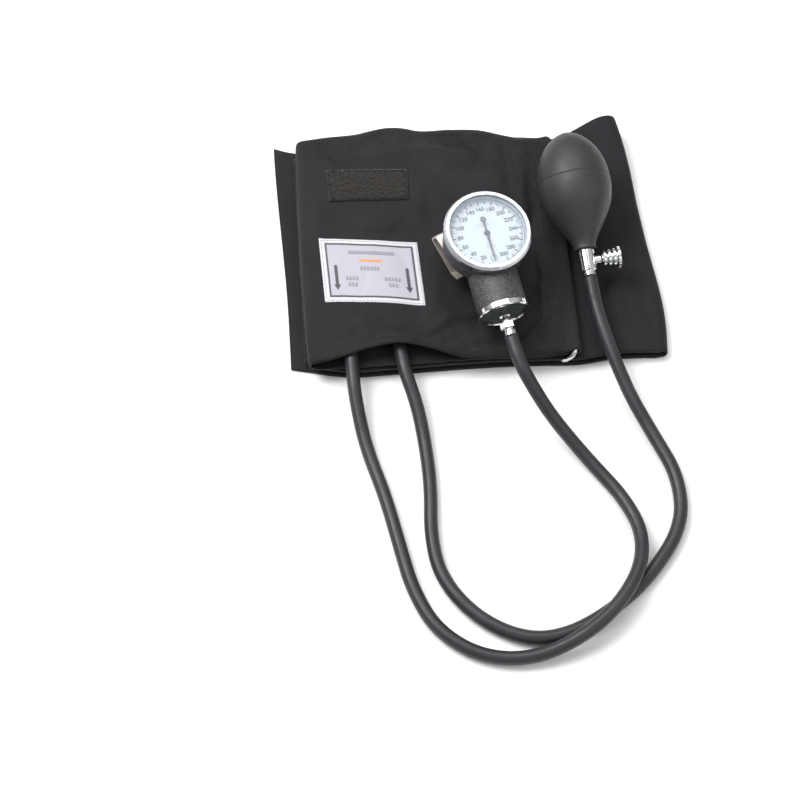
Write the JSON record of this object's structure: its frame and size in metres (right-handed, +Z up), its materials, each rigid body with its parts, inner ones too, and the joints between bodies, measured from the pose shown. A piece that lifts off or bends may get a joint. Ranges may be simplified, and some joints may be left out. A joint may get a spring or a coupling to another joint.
{
  "type": "aneroid blood pressure cuff",
  "caption": "Folded D-ring arm cuff with a dial pressure gauge and a squeeze bulb with release valve, each joined to the cuff's bladder by a rubber hose.",
  "frame": {"origin": "on the table under the middle of the box around the folded cuff, gauge and bulb, hoses left out", "axes": "+X along the folded strip towards its D-ring end, +Y towards the cuff's back edge (the hoses leave towards -Y), +Z up"},
  "size_m": [0.216, 0.3348, 0.0623],
  "materials": {
    "nylon": "black woven nylon, satin",
    "lining": "black woven lining, matte",
    "hook_tape": "black hook tape, fuzzy",
    "loop_tape": "black brushed loop tape",
    "label": "pale woven label, printed",
    "bladder_rubber": "matte rubber",
    "hose_rubber": "dark grey rubber, soft sheen",
    "bulb_rubber": "dark grey rubber, matte",
    "wrinkle_paint": "black wrinkle paint",
    "bezel_chrome": "bright plated",
    "chrome": "bright plated",
    "crystal": "clear",
    "dial": "printed white, matte",
    "pointer_black": "black, matte",
    "steel": "ground",
    "brass": "rolled",
    "end_plate_black": "black, satin",
    "clip_nickel": "warm nickel plate"
  },
  "bodies": {
    "cuff": {"outer_cover": "nylon", "inner_lining": "lining", "bladder": "bladder_rubber", "ring_hem": "nylon", "hook_patch": "hook_tape", "artery_label": "label", "tail_loop_panel": "loop_tape", "gauge_hose": "hose_rubber", "bulb_hose": "hose_rubber"},
    "ring": {"d_ring": "chrome"},
    "gauge": {"gauge_case": "wrinkle_paint", "bezel": "bezel_chrome", "crystal_gasket": "bladder_rubber", "crystal": "crystal", "dial_plate": "dial", "movement_back_plate": "brass", "movement_front_plate": "brass", "movement_pillars": "brass", "hairspring": "steel", "capsule": "brass", "drum_end_plate": "end_plate_black", "drum_end_ring": "chrome", "inlet_nipple": "chrome", "nipple_nut": "chrome", "nipple_pin": "chrome", "back_clip": "clip_nickel", "clip_screws": "steel"},
    "pointer": {"pointer": "pointer_black", "pinion_arbor": "steel"},
    "sector": {"sector_gear": "brass", "sector_arbor": "steel"},
    "push_link": {"capsule_push_link": "brass"},
    "bulb": {"rubber_bulb": "bulb_rubber", "inlet_valve_body": "chrome", "release_valve_body": "chrome", "hose_tail": "chrome"},
    "inlet_disc": {"inlet_valve_disc": "bladder_rubber"},
    "outlet_disc": {"outlet_valve_disc": "bladder_rubber"},
    "needle": {"release_needle": "steel"},
    "knob": {"release_knob": "chrome"}
  },
  "joints": [
    {"name": "ring_swing", "type": "hinge", "parent": "cuff", "child": "ring", "pos_m": [0.0545, 0, 0.0134], "axis": [0, 1, 0], "range_deg": [-2, 2]},
    {"name": "gauge_lift", "type": "slide", "parent": "cuff", "child": "gauge", "axis": [0, 0, 1], "range_m": [0, 0.06]},
    {"name": "bulb_lift", "type": "slide", "parent": "cuff", "child": "bulb", "axis": [0, 0, 1], "range_m": [0, 0.06]},
    {"name": "sector_rock", "type": "hinge", "parent": "gauge", "child": "sector", "pos_m": [0.00668, -0.0433, 0.05189], "axis": [0.0907, -0.1068, 0.9901], "range_deg": [0, 33.75]},
    {"name": "pointer_turn", "type": "hinge", "parent": "gauge", "child": "pointer", "pos_m": [0.0081, -0.0236, 0.05389], "axis": [0.0907, -0.1068, 0.9901], "range_deg": [-337.5, 0]},
    {"name": "capsule_push", "type": "slide", "parent": "gauge", "child": "push_link", "axis": [-0.1809, 0.9759, 0.1219], "range_m": [0, 0.00295]},
    {"name": "inlet_disc_lift", "type": "slide", "parent": "bulb", "child": "inlet_disc", "axis": [0.068, -0.9687, -0.2389], "range_m": [0, 0.0008]},
    {"name": "outlet_disc_lift", "type": "slide", "parent": "bulb", "child": "outlet_disc", "axis": [0.068, -0.9687, -0.2389], "range_m": [0, 0.0008]},
    {"name": "needle_travel", "type": "slide", "parent": "bulb", "child": "needle", "axis": [0.9975, 0.07, 0], "range_m": [0, 0.0014]},
    {"name": "knob_turn", "type": "hinge", "parent": "needle", "child": "knob", "pos_m": [0.06576, -0.0282, 0.02653], "axis": [0.9975, 0.07, 0], "range_deg": [0, 720]}
  ],
  "couplings": [
    {"joint": "pointer_turn", "follows": "sector_rock", "ratio": -10},
    {"joint": "capsule_push", "follows": "sector_rock", "m_per_rad": 0.005},
    {"joint": "needle_travel", "follows": "knob_turn", "m_per_rad": 0.00011141}
  ]
}
